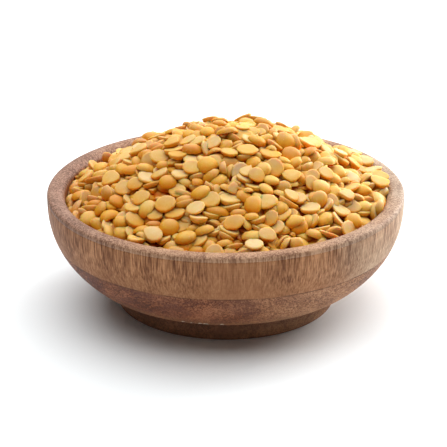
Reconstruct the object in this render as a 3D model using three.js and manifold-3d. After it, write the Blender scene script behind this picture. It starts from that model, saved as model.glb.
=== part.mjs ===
// A small turned wooden bowl heaped with dry split toor dal, in millimetres with +Z up.
// The origin is the centre of the foot, on the surface that the bowl stands on.
// The bowl is one turned piece. The dal is one piece too: a core that fills the bowl and
// domes above the rim, with the split peas of its top layer fused on.

import * as THREE from "three";
import { mergeVertices } from "three/addons/utils/BufferGeometryUtils.js";
import Module from "manifold-3d";

const wasm = await Module();
wasm.setup();

// Bowl: foot, outer wall and rim
const footRadius = 36.4;
const footChamfer = 0.7;
const footTopRadius = 38.4;
const footTopHeight = 6.6;
const bodyEdgeRadius = 45.0; // the crisp lower edge of the body, which overhangs the foot
const bodyEdgeHeight = 9.2;
const wallTopRadius = 59.65;
const wallTopHeight = 37.9;
const wallRise = 2.37; // exponents of the wall's curve: how upright it ends, and how full it is
const wallFullness = 1.08;
const rimRadius = 60.0; // the bead at the rim stands just proud of the wall
const rimWidth = 6.0;
const rimEdgeHeight = 38.4;
const rimCrown = 1.0; // height of the rim's crown over its edges

// Bowl: hollow
const floorHeight = 9.5;
const floorRadius = 30.0;
const hollowRise = 2.2;
const hollowFullness = 1.2;

// Heap of dal
const heapPeak = 58.8; // height of the pea tops over the heap's own centre
const heapCentre = new THREE.Vector2(2.1, 2.0);
const heapDrop = 24.0; // the dome falls by this much, ...
const heapRoundness = 33.5; // ... round over this radius and straight beyond it
const topLayer = 2.1; // the bare core lies this far below the pea tops
const bowlGap = 0.5; // clearance between the dal and the bowl

// Split peas: a flat face with a low edge round it, a shoulder and a domed back
const peaRadius = 2.95;
const peaThickness = 2.5;
const peaEdge = 0.18; // share of the thickness at which a pea is widest
const peaShoulderRadius = 0.74; // shares of the radius and of the thickness at the shoulder
const peaShoulderHeight = 0.8;
const peaSizeSpread = 0.16; // share by which radius and thickness vary
const peaTilt = 0.5; // largest tilt from the heap's surface, radians
const peaCount = 236;
const flatUpShare = 0.5; // share of the peas that lie with their flat face up
const flatUpSink = 0.5; // share of such a pea's thickness that lies below the core's surface, ...
const domeUpSink = 0.12; // ... and the same for a pea that lies on its flat face
const wallSpacing = 0.5; // the outermost peas' centres stay this many radii from the wall
const pullStep = 0.6; // a pea that would cross the bowl moves inwards by this, ...
const pullSteps = 5; // ... up to this many times
const peaSeed = 20;

// Facets
const bowlSides = 60;
const coreSides = 30;
const peaSides = 6;
const wallSteps = 6;
const rimSteps = 5;
const hollowSteps = 5;
const domeSteps = 4;
const mergeDistance = 1e-4;

const goldenAngle = Math.PI * (3 - Math.sqrt(5));

// A seeded source of numbers from 0 to 1, the mulberry32 rule.
function seededNumbers(seed) {
  let state = seed;
  return () => {
    state = (state + 0x6d2b79f5) | 0;
    let mixed = Math.imul(state ^ (state >>> 15), 1 | state);
    mixed = (mixed + Math.imul(mixed ^ (mixed >>> 7), 61 | mixed)) ^ mixed;
    return ((mixed ^ (mixed >>> 14)) >>> 0) / 2 ** 32;
  };
}

// Radius of a turned curve at a share of its height: the lower radius grows to the upper one,
// fast at first and upright at the end.
function turnedRadius(share, lower, upper, rise, fullness) {
  return lower + (upper - lower) * (1 - (1 - share) ** rise) ** (1 / fullness);
}

const rimInnerRadius = rimRadius - rimWidth;

// Radius of the bowl's hollow at a height, up to the rim's inner edge.
function hollowRadius(height) {
  const share = (height - floorHeight) / (rimEdgeHeight - floorHeight);
  const clamped = Math.min(Math.max(share, 0), 1);
  return turnedRadius(clamped, floorRadius, rimInnerRadius, hollowRise, hollowFullness);
}

// The closed outline of the bowl's wall, from the axis under the foot round to the axis on its floor.
function bowlProfile() {
  const points = [
    [0, 0],
    [footRadius - footChamfer, 0],
    [footRadius, footChamfer],
    [footTopRadius, footTopHeight],
  ];
  for (let step = 0; step <= wallSteps; step++) {
    const share = step / wallSteps;
    const radius = turnedRadius(share, bodyEdgeRadius, wallTopRadius, wallRise, wallFullness);
    points.push([radius, THREE.MathUtils.lerp(bodyEdgeHeight, wallTopHeight, share)]);
  }
  for (let step = 0; step < rimSteps; step++) {
    const turn = (step / rimSteps) * Math.PI;
    const radius = rimRadius - (rimWidth / 2) * (1 - Math.cos(turn));
    points.push([radius, rimEdgeHeight + rimCrown * Math.sin(turn)]);
  }
  for (let step = hollowSteps; step >= 0; step--) {
    const height = THREE.MathUtils.lerp(floorHeight, rimEdgeHeight, step / hollowSteps);
    points.push([hollowRadius(height), height]);
  }
  points.push([0, floorHeight]);
  return points.map(([radius, height]) => new THREE.Vector2(radius, height));
}

// Height of the pea tops over a place on the plan: a dome with a rounded top and straight flanks.
function heapHeight(x, y) {
  const reach = Math.hypot(x - heapCentre.x, y - heapCentre.y) / heapRoundness;
  return heapPeak - heapDrop * (Math.hypot(1, reach) - 1);
}

// Upward normal of the heap's dome at a place on the plan.
function heapNormal(x, y) {
  const away = new THREE.Vector2(x, y).sub(heapCentre).divideScalar(heapRoundness);
  const fall = heapDrop / heapRoundness / Math.hypot(1, away.length());
  return new THREE.Vector3(away.x * fall, away.y * fall, 1).normalize();
}

// A closed turned body, with the profile's second coordinate along +Z.
function turned(profile, sides) {
  const geometry = new THREE.LatheGeometry(profile, sides);
  geometry.rotateX(Math.PI / 2);
  geometry.deleteAttribute("normal");
  geometry.deleteAttribute("uv");
  return mergeVertices(geometry, mergeDistance);
}

function solidOf(geometry) {
  return new wasm.Manifold(
    new wasm.Mesh({
      numProp: 3,
      vertProperties: new Float32Array(geometry.getAttribute("position").array),
      triVerts: new Uint32Array(geometry.index.array),
    }),
  );
}

function geometryOf(solid) {
  const mesh = solid.getMesh();
  const geometry = new THREE.BufferGeometry();
  geometry.setAttribute("position", new THREE.BufferAttribute(mesh.vertProperties, 3));
  geometry.setIndex(new THREE.BufferAttribute(mesh.triVerts, 1));
  geometry.computeVertexNormals();
  return geometry;
}

// The dal's core: it follows the hollow of the bowl, and its top follows the dome below the peas,
// down to an edge that lies no higher than a layer of peas below the rim.
function heapCore() {
  const edgeHeight = rimEdgeHeight - topLayer;
  const profile = [new THREE.Vector2(0, floorHeight + bowlGap)];
  for (let step = 0; step <= hollowSteps; step++) {
    const height = THREE.MathUtils.lerp(floorHeight + bowlGap, edgeHeight, step / hollowSteps);
    profile.push(new THREE.Vector2(hollowRadius(height - bowlGap) - bowlGap, height));
  }
  const edgeRadius = profile.at(-1).x;
  for (let step = domeSteps - 1; step >= 0; step--) {
    profile.push(new THREE.Vector2((edgeRadius * step) / domeSteps, heapPeak));
  }
  const geometry = turned(profile, coreSides);
  const position = geometry.getAttribute("position");
  for (let i = 0; i < position.count; i++) {
    const height = position.getZ(i);
    if (height < edgeHeight - mergeDistance) continue;
    const domed = heapHeight(position.getX(i), position.getY(i)) - topLayer;
    position.setZ(i, Math.min(domed, height));
  }
  return geometry;
}

// One split pea at the origin: a flat round face below and a dome above.
function peaGeometry(radius, thickness, oval) {
  const profile = [
    new THREE.Vector2(0, 0),
    new THREE.Vector2(radius, thickness * peaEdge),
    new THREE.Vector2(radius * peaShoulderRadius, thickness * peaShoulderHeight),
    new THREE.Vector2(0, thickness),
  ];
  return turned(profile, peaSides).scale(1, oval, 1);
}

// Whether every corner of a pea is clear of the bowl: inside its hollow, or above its rim.
function clearOfBowl(geometry) {
  const position = geometry.getAttribute("position");
  for (let i = 0; i < position.count; i++) {
    const height = position.getZ(i);
    const radius = Math.hypot(position.getX(i), position.getY(i));
    const aboveRim = height > rimEdgeHeight + rimCrown + bowlGap;
    if (!aboveRim && radius > hollowRadius(height) - bowlGap) return false;
  }
  return true;
}

// The peas of the top layer, spread evenly on a golden-angle spiral and tilted at random. One that
// would cross the bowl is moved towards the middle, and left out if that doesn't clear it.
function topPeas() {
  const random = seededNumbers(peaSeed);
  const spread = (amount) => (2 * random() - 1) * amount;
  const reach = rimInnerRadius - bowlGap - wallSpacing * peaRadius;
  const upright = new THREE.Vector3(0, 0, 1);
  const peas = [];
  for (let i = 0; i < peaCount; i++) {
    const radius = peaRadius * (1 + spread(peaSizeSpread));
    const thickness = peaThickness * (1 + spread(peaSizeSpread));
    const oval = 1 - peaSizeSpread * random();
    const flatFaceUp = random() < flatUpShare;
    const tilt = new THREE.Quaternion().setFromEuler(
      new THREE.Euler(spread(peaTilt), spread(peaTilt), random() * 2 * Math.PI, "ZYX"),
    );
    const angle = i * goldenAngle;
    const spiral = reach * Math.sqrt((i + 0.5) / peaCount);
    for (let pull = 0; pull <= pullSteps; pull++) {
      const x = (spiral - pull * pullStep) * Math.cos(angle);
      const y = (spiral - pull * pullStep) * Math.sin(angle);
      const pea = peaGeometry(radius, thickness, oval);
      if (flatFaceUp) pea.rotateX(Math.PI).translate(0, 0, thickness * (1 - flatUpSink));
      else pea.translate(0, 0, -thickness * domeUpSink);
      pea.applyQuaternion(tilt);
      pea.applyQuaternion(new THREE.Quaternion().setFromUnitVectors(upright, heapNormal(x, y)));
      pea.translate(x, y, heapHeight(x, y) - topLayer);
      if (!clearOfBowl(pea)) continue;
      peas.push(pea);
      break;
    }
  }
  return peas;
}

// The core and its peas as one body. Loose scraps and sealed hollows are separate bodies, and go.
function heapOfDal() {
  let heap = solidOf(heapCore());
  for (const pea of topPeas()) heap = heap.add(solidOf(pea));
  const bodies = heap.decompose();
  const largest = bodies.reduce((best, body) => (body.volume() > best.volume() ? body : best));
  return geometryOf(largest);
}

const wood = new THREE.MeshStandardMaterial({ color: 0x9a6b4c, roughness: 0.6, metalness: 0 });
const dal = new THREE.MeshStandardMaterial({ color: 0xe0ab4a, roughness: 0.55, metalness: 0 });

const bowlMesh = new THREE.Mesh(turned(bowlProfile(), bowlSides), wood);
bowlMesh.name = "bowl";

const dalMesh = new THREE.Mesh(heapOfDal(), dal);
dalMesh.name = "dal_heap";

const dish = new THREE.Group();
dish.name = "dish_of_toor_dal";
dish.add(bowlMesh, dalMesh);

export default dish;
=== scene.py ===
"""Looks of a small turned wooden bowl heaped with dry split toor dal.

Everything is in metres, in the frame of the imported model: +Z up, the origin at the centre of the foot's
underside, -Y towards the camera. The bowl is a turned surface, and the heap is a core under loose splits
that are pressed together until they lie on each other.
"""

import logging
import math
from dataclasses import dataclass, field
from enum import Enum

import bpy
import numpy as np
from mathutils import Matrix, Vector


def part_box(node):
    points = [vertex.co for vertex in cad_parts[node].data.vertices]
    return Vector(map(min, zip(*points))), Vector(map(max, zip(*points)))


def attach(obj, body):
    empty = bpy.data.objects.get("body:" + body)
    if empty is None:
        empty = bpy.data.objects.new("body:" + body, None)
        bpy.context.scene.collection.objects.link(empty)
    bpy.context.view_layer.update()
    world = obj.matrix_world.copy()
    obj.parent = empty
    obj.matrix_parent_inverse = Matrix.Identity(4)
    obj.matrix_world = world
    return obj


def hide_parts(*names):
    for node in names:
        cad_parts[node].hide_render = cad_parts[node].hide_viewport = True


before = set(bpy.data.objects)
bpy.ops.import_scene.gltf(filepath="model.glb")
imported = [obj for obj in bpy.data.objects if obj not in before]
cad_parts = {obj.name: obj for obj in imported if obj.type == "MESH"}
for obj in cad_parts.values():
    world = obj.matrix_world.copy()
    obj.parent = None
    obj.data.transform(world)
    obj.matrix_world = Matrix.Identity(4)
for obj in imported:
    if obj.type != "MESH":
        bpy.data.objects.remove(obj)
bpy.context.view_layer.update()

Array = np.ndarray
Triple = tuple[float, float, float]
Colour = Triple
Pair = tuple[float, float]
Socket = bpy.types.NodeSocket
Value = Socket | float
Tint = Socket | Colour
Inputs = dict[str | int, Socket | float | Triple]

log = logging.getLogger("dish_of_toor_dal")

MM = 0.001
PHOTO_SIDE = 447  # pixels along each side of the picture
BODY_HEIGHT = 9.2 * MM  # of the body's crisp lower edge, over the floor
CRISP_COSINE = 0.966  # of the turn, about fifteen degrees, from which a corner counts as crisp
SHORT_SIDE = 0.4  # share of a short side that the rounding of its corner takes up
LEAST_LENGTH = 1e-12  # below which a vector keeps no direction
NOISE_MIDDLE: Pair = (0.40, 0.60)  # where most values of a noise lie
EVEN_STOPS: Triple = (0.0, 0.5, 1.0)  # places of three colours along a ramp


def rgb(red: int, green: int, blue: int) -> Colour:
    """Turn a colour of 0 to 255 as seen on a screen into the linear colour that shaders use.

    The curve is the screen standard's own: straight near black and a power above.

    Args:
        red: Red share.
        green: Green share.
        blue: Blue share.

    Returns:
        The linear colour.
    """
    seen = np.array([red, green, blue]) / 255.0
    linear = np.where(seen <= 0.04045, seen / 12.92, ((seen + 0.055) / 1.055) ** 2.4)
    return tuple(float(share) for share in linear)


def unit(vectors: Array) -> Array:
    """Scale vectors along the last axis to length one."""
    return vectors / np.maximum(np.linalg.norm(vectors, axis=-1, keepdims=True), LEAST_LENGTH)


# Meshes


@dataclass
class Surface:
    """A mesh as whole arrays, before it becomes an object.

    Attributes:
        points: Corner places, one row each.
        quads: Corners of the four-sided faces, counter-clockwise from outside.
        triangles: Corners of the three-sided faces, counter-clockwise from outside.
        marks: Named values, one for each corner, that materials read as attributes.
    """

    points: Array
    quads: Array
    triangles: Array
    marks: dict[str, Array] = field(default_factory=dict)

    def piece(
        self, name: str, material: bpy.types.Material, slot: str, *nodes: str
    ) -> bpy.types.Object:
        """Make the object, dress it, and let it ride on the one body.

        Args:
            name: Name of the piece.
            material: Its finish.
            slot: Name of a material slot; not used.
            nodes: The solids that it stands for.

        Returns:
            The new object.
        """
        mesh = bpy.data.meshes.new(name)
        sizes = np.repeat([4, 3], [len(self.quads), len(self.triangles)])
        corners = np.concatenate([self.quads.ravel(), self.triangles.ravel()])
        mesh.vertices.add(len(self.points))
        mesh.vertices.foreach_set("co", self.points.astype(np.float32).ravel())
        mesh.loops.add(len(corners))
        mesh.loops.foreach_set("vertex_index", corners.astype(np.int32))
        mesh.polygons.add(len(sizes))
        mesh.polygons.foreach_set("loop_start", (np.cumsum(sizes) - sizes).astype(np.int32))
        mesh.polygons.foreach_set("use_smooth", np.ones(len(sizes), bool))
        for mark, values in self.marks.items():
            attribute = mesh.attributes.new(mark, "FLOAT", "POINT")
            attribute.data.foreach_set("value", values.astype(np.float32).ravel())
        mesh.update(calc_edges=True)
        mesh.validate()
        mesh.materials.append(material)
        piece = bpy.data.objects.new(name, mesh)
        bpy.context.scene.collection.objects.link(piece)
        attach(piece, "root")
        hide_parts(*nodes)
        return piece


def ring_faces(rows: int, sides: int, first_pole: int, last_pole: int) -> tuple[Array, Array]:
    """Faces of a closed body of rings: quads between rings and fans of triangles at its two poles.

    Corner number row * sides + side lies on a ring. The rings run so that the body is on the left of the
    outline from the first pole to the last one, which turns the faces outwards.

    Args:
        rows: Number of rings.
        sides: Corners on each ring.
        first_pole: Corner number of the pole at the first ring.
        last_pole: Corner number of the pole at the last ring.

    Returns:
        Quads and triangles as corner numbers.
    """
    side = np.arange(sides)
    after = (side + 1) % sides
    low = np.arange(rows - 1)[:, None] * sides
    quads = np.stack([low + side, low + after, low + sides + after, low + sides + side], axis=-1)
    top = (rows - 1) * sides
    first_fan = np.stack([np.full(sides, first_pole), after, side], axis=-1)
    last_fan = np.stack([np.full(sides, last_pole), top + side, top + after], axis=-1)
    return quads.reshape(-1, 4), np.concatenate([first_fan, last_fan])


def rounded(outline: Array, radius: float, steps: int) -> Array:
    """Round the crisp corners of an open outline, where it turns by more than about fifteen degrees.

    Each corner becomes a parabola: it leaves one side at the given distance from the corner, or at a share
    of that side where it is short, and is drawn to the corner with weights (1 - t)^2, 2t(1 - t) and t^2.

    Args:
        outline: Points along the outline.
        radius: Distance from a corner at which its rounding starts.
        steps: Points on each rounding.

    Returns:
        The outline with its corners rounded.
    """
    before, corner, after = outline[:-2], outline[1:-1], outline[2:]
    share = np.linspace(0.0, 1.0, steps)[None, :, None]
    reach_in = np.minimum(radius, SHORT_SIDE * np.linalg.norm(before - corner, axis=1))[:, None]
    reach_out = np.minimum(radius, SHORT_SIDE * np.linalg.norm(after - corner, axis=1))[:, None]
    start = (corner + unit(before - corner) * reach_in)[:, None]
    end = (corner + unit(after - corner) * reach_out)[:, None]
    arcs = start * (1 - share) ** 2 + 2 * corner[:, None] * share * (1 - share) + end * share**2
    crisp = (unit(corner - before) * unit(after - corner)).sum(axis=1) < CRISP_COSINE
    arcs[~crisp] = corner[~crisp][:, None]
    kept = crisp[:, None] | (np.arange(steps) == 0)
    return np.concatenate([outline[:1], arcs[kept], outline[-1:]])


# Shader nodes


class NodeWriter:
    """Writes nodes into a shader tree: a call adds a node and sets or links its inputs."""

    def __init__(self, tree: bpy.types.NodeTree) -> None:
        """Hold the tree to write into."""
        self.tree = tree

    def feed(self, node: bpy.types.Node, inputs: Inputs) -> None:
        """Set or link inputs of a node.

        Args:
            node: The node.
            inputs: Values, colours or sockets by input name or number.
        """
        for key, value in inputs.items():
            socket = node.inputs[key]
            if isinstance(value, Socket):
                self.tree.links.new(value, socket)
            elif socket.type == "RGBA":
                socket.default_value = (*value, 1.0)
            else:
                socket.default_value = value

    def add(self, kind: str, inputs: Inputs | None = None, **settings: object) -> bpy.types.Node:
        """Add a node.

        Args:
            kind: Blender's name of the node type.
            inputs: Values, colours or sockets by input name or number.
            settings: Properties of the node, set before its inputs.

        Returns:
            The node.
        """
        node = self.tree.nodes.new(kind)
        for name, value in settings.items():
            setattr(node, name, value)
        self.feed(node, inputs or {})
        return node

    def place(self) -> Socket:
        """Object coordinates of the point that is seen."""
        return self.add("ShaderNodeTexCoord").outputs["Object"]

    def mark(self, name: str) -> Socket:
        """Value of one of the surface's marks."""
        return self.add("ShaderNodeAttribute", attribute_name=name).outputs["Fac"]

    def math(self, operation: str, first: Value, second: Value = 0.0, third: Value = 0.0) -> Socket:
        """One sum, product, root or the like.

        Args:
            operation: Blender's name of the operation.
            first: First value.
            second: Second value, where the operation takes one.
            third: Third value, where the operation takes one.

        Returns:
            The result.
        """
        return self.add("ShaderNodeMath", {0: first, 1: second, 2: third}, operation=operation).outputs[0]

    def product(self, first: Value, *others: Value) -> Socket:
        """Multiply values.

        Args:
            first: First factor.
            others: The other factors.

        Returns:
            Their product.
        """
        for other in others:
            first = self.math("MULTIPLY", first, other)
        return first

    def away(self, value: Socket, middle: float) -> Socket:
        """How far a value is from a middle, either way."""
        return self.math("ABSOLUTE", self.math("SUBTRACT", value, middle))

    def mix(self, share: Value, first: Tint, second: Tint, blend: str = "MIX") -> Socket:
        """Blend two colours.

        Args:
            share: How much of the second colour shows.
            first: First colour.
            second: Second colour.
            blend: Blender's name of the blend.

        Returns:
            The blended colour.
        """
        inputs = {0: share, 6: first, 7: second}
        return self.add("ShaderNodeMix", inputs, data_type="RGBA", blend_type=blend).outputs[2]

    def span(self, value: Socket, source: Pair, goal: Pair = (0.0, 1.0)) -> Socket:
        """Map a value from one span to another, smoothly and without running past its ends.

        Args:
            value: The value to map.
            source: Start and end of the span that it comes from.
            goal: Start and end of the span that it goes to.

        Returns:
            The mapped value.
        """
        inputs = dict(enumerate((value, *source, *goal)))
        return self.add("ShaderNodeMapRange", inputs, interpolation_type="SMOOTHSTEP").outputs[0]

    def ramp(self, value: Socket, places: tuple[float, ...], colours: tuple[Colour, ...]) -> Socket:
        """Read a colour off a ramp.

        Args:
            value: Place on the ramp.
            places: Places of its colours, in order.
            colours: The colours.

        Returns:
            The colour.
        """
        node = self.add("ShaderNodeValToRGB", {0: value})
        elements = node.color_ramp.elements
        while len(elements) < len(places):
            elements.new(0.5)
        for element, place, colour in zip(elements, places, colours):
            element.position = place
            element.color = (*colour, 1.0)
        return node.outputs[0]

    def noise(self, vector: Socket, scale: Value, detail: float = 2.0, roughness: float = 0.5) -> Socket:
        """Smooth random values in space.

        Args:
            vector: Place to read.
            scale: Cells for each unit of the place.
            detail: Octaves of finer noise.
            roughness: Strength of each finer octave.

        Returns:
            Values around a half.
        """
        inputs = {"Vector": vector, "Scale": scale, "Detail": detail, "Roughness": roughness}
        return self.add("ShaderNodeTexNoise", inputs).outputs[0]

    def bump(self, height: Socket, strength: float, distance: float) -> Socket:
        """Normal of a low relief.

        Args:
            height: The relief, from 0 to 1.
            strength: How much of it shows.
            distance: Its real height.

        Returns:
            The normal.
        """
        inputs = {"Strength": strength, "Distance": distance, "Height": height}
        return self.add("ShaderNodeBump", inputs).outputs[0]


def new_group(name: str, values: dict[str, float], outputs: tuple[str, ...]) -> NodeWriter:
    """Start a shader node group that reads a place and some values.

    Args:
        name: Name of the group.
        values: Default value of each input after the place, by name.
        outputs: Names of the values that it gives.

    Returns:
        A writer of the group, with its input and output nodes inside.
    """
    tree = bpy.data.node_groups.new(name, "ShaderNodeTree")
    tree.interface.new_socket("Vector", in_out="INPUT", socket_type="NodeSocketVector")
    for socket, value in values.items():
        made = tree.interface.new_socket(socket, in_out="INPUT", socket_type="NodeSocketFloat")
        made.default_value = value
    for socket in outputs:
        tree.interface.new_socket(socket, in_out="OUTPUT", socket_type="NodeSocketFloat")
    tree.nodes.new("NodeGroupInput")
    tree.nodes.new("NodeGroupOutput")
    return NodeWriter(tree)


class Effect(Enum):
    """Effects that several materials share, each a node group that is built once."""

    MOTTLE = "mottle"
    SPECKS = "specks"

    def tree(self) -> bpy.types.NodeTree:
        """Find the effect's node group, or build it on its first use.

        Returns:
            The node group.
        """
        makers = {Effect.MOTTLE: mottle_group, Effect.SPECKS: specks_group}
        return bpy.data.node_groups.get(self.value) or makers[self](self.value)

    def place(self, writer: NodeWriter, inputs: Inputs) -> bpy.types.Node:
        """Place the effect in a material with its own values.

        Args:
            writer: Writer of the material's tree.
            inputs: Values or sockets by input name.

        Returns:
            The group's node.
        """
        return writer.add("ShaderNodeGroup", inputs, node_tree=self.tree())


def mottle_group(name: str) -> bpy.types.NodeTree:
    """Uneven tone: coarse clouds and fine grit in one value around zero, and the grit alone as a height.

    Args:
        name: Name of the group.

    Returns:
        The node group.
    """
    values = {"Cloud Scale": 200.0, "Grit Scale": 2000.0, "Grit Share": 0.4}
    writer = new_group(name, values, ("Tone", "Height"))
    given = writer.tree.nodes["Group Input"].outputs
    cloud = writer.noise(given["Vector"], given["Cloud Scale"])
    grit = writer.noise(given["Vector"], given["Grit Scale"], detail=3.0, roughness=0.6)
    both = writer.add("ShaderNodeMix", {0: given["Grit Share"], 2: cloud, 3: grit}, data_type="FLOAT")
    tone = writer.math("MULTIPLY_ADD", both.outputs[0], 2.0, -1.0)
    writer.feed(writer.tree.nodes["Group Output"], {"Tone": tone, "Height": grit})
    return writer.tree


def specks_group(name: str) -> bpy.types.NodeTree:
    """Scattered specks: a mask of the small cells whose random value passes a limit, faded to their edges.

    Args:
        name: Name of the group.

    Returns:
        The node group.
    """
    speck_edge = (0.2, 0.45)
    writer = new_group(name, {"Scale": 800.0, "Amount": 0.1}, ("Mask",))
    given = writer.tree.nodes["Group Input"].outputs
    cells = writer.add("ShaderNodeTexVoronoi", {"Vector": given["Vector"], "Scale": given["Scale"]})
    chance = writer.add("ShaderNodeSeparateColor", {0: cells.outputs["Color"]}).outputs[0]
    chosen = writer.math("LESS_THAN", chance, given["Amount"])
    near = writer.span(cells.outputs["Distance"], speck_edge, (1.0, 0.0))
    writer.feed(writer.tree.nodes["Group Output"], {"Mask": writer.product(chosen, near)})
    return writer.tree


def new_material(name: str) -> tuple[bpy.types.Material, NodeWriter, bpy.types.Node]:
    """Start a material.

    Args:
        name: Name of the material.

    Returns:
        The material, a writer of its tree and its Principled BSDF.
    """
    material = bpy.data.materials.new(name)
    material.use_nodes = True
    shader = material.node_tree.nodes["Principled BSDF"]
    return material, NodeWriter(material.node_tree), shader


# Finishes


class Fibres(Enum):
    """Which way a board's fibres run: how finely its figure changes along X, Y and Z."""

    UPRIGHT = (1.0, 1.0, 0.085)
    FRONT_TO_BACK = (1.0, 0.085, 1.0)


@dataclass(frozen=True)
class Streaks:
    """Smooth random values, drawn out in space.

    Attributes:
        scales: Cells for each metre along X, Y and Z.
        detail: Octaves of finer noise.
        roughness: Strength of each finer octave.
    """

    scales: Triple
    detail: float = 2.0
    roughness: float = 0.5

    def values(self, writer: NodeWriter, place: Socket, shift: float = 0.0) -> Socket:
        """Read the values at a place.

        Args:
            writer: Writer of the material's tree.
            place: Object coordinates.
            shift: Distance that sets these values apart from others of the same scales.

        Returns:
            Values around a half.
        """
        inputs = {"Vector": place, "Scale": self.scales, "Location": (shift, shift, shift)}
        drawn_out = writer.add("ShaderNodeMapping", inputs).outputs[0]
        return writer.noise(drawn_out, 1.0, self.detail, self.roughness)


@dataclass(frozen=True)
class GrainLayer:
    """One fineness of the wood's figure.

    Attributes:
        scale: Cells for each metre across the fibres.
        share: Its share of the figure.
        detail: Octaves of finer noise.
        roughness: Strength of each finer octave.
    """

    scale: float
    share: float
    detail: float
    roughness: float


@dataclass(frozen=True)
class Board:
    """Tones and grain of one stretch of the bowl's wood.

    Attributes:
        pale: Colour of its palest streaks.
        middle: Its main colour.
        dark: Colour of its darkest streaks.
        softness: Span of tones between its dark and its pale streaks.
        fibres: Which way its fibres run.
        shift: Distance that sets its figure apart from another board's.
        figure: Its broad zones, its streaks and its fine fibres.
    """

    pale: Colour
    middle: Colour
    dark: Colour
    softness: float
    fibres: Fibres = Fibres.UPRIGHT
    shift: float = 0.0
    figure: tuple[GrainLayer, ...] = (
        GrainLayer(scale=120.0, share=0.24, detail=2.0, roughness=0.5),
        GrainLayer(scale=1150.0, share=0.36, detail=3.0, roughness=0.65),
        GrainLayer(scale=2300.0, share=0.40, detail=2.0, roughness=0.6),
    )

    def tone(self, writer: NodeWriter, place: Socket) -> Socket:
        """Tone of the figure: the sum of its layers by their shares, each drawn out along the fibres.

        Args:
            writer: Writer of the material's tree.
            place: Object coordinates.

        Returns:
            The tone, around a half.
        """
        total = 0.0
        for layer in self.figure:
            scales = tuple(layer.scale * fineness for fineness in self.fibres.value)
            streaks = Streaks(scales, layer.detail, layer.roughness).values(writer, place, self.shift)
            total = writer.math("MULTIPLY_ADD", streaks, layer.share, total)
        return total

    def colour(self, writer: NodeWriter, tone: Socket) -> Socket:
        """Colour of the board from the tone of its figure.

        Args:
            writer: Writer of the material's tree.
            tone: The tone, around a half.

        Returns:
            The colour.
        """
        places = (0.5 - self.softness / 2, 0.5, 0.5 + self.softness / 2)
        return writer.ramp(tone, places, (self.dark, self.middle, self.pale))


@dataclass(frozen=True)
class Spot:
    """Sockets that say where a point of the wood lies.

    Attributes:
        place: Object coordinates.
        across: X.
        deep: Y.
        height: Height over the floor.
        lit_side_edge: X with a drift, along which the wood turns to its paler copy, painted sheen on the
            lit side.
    """

    place: Socket
    across: Socket
    deep: Socket
    height: Socket
    lit_side_edge: Socket


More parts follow.
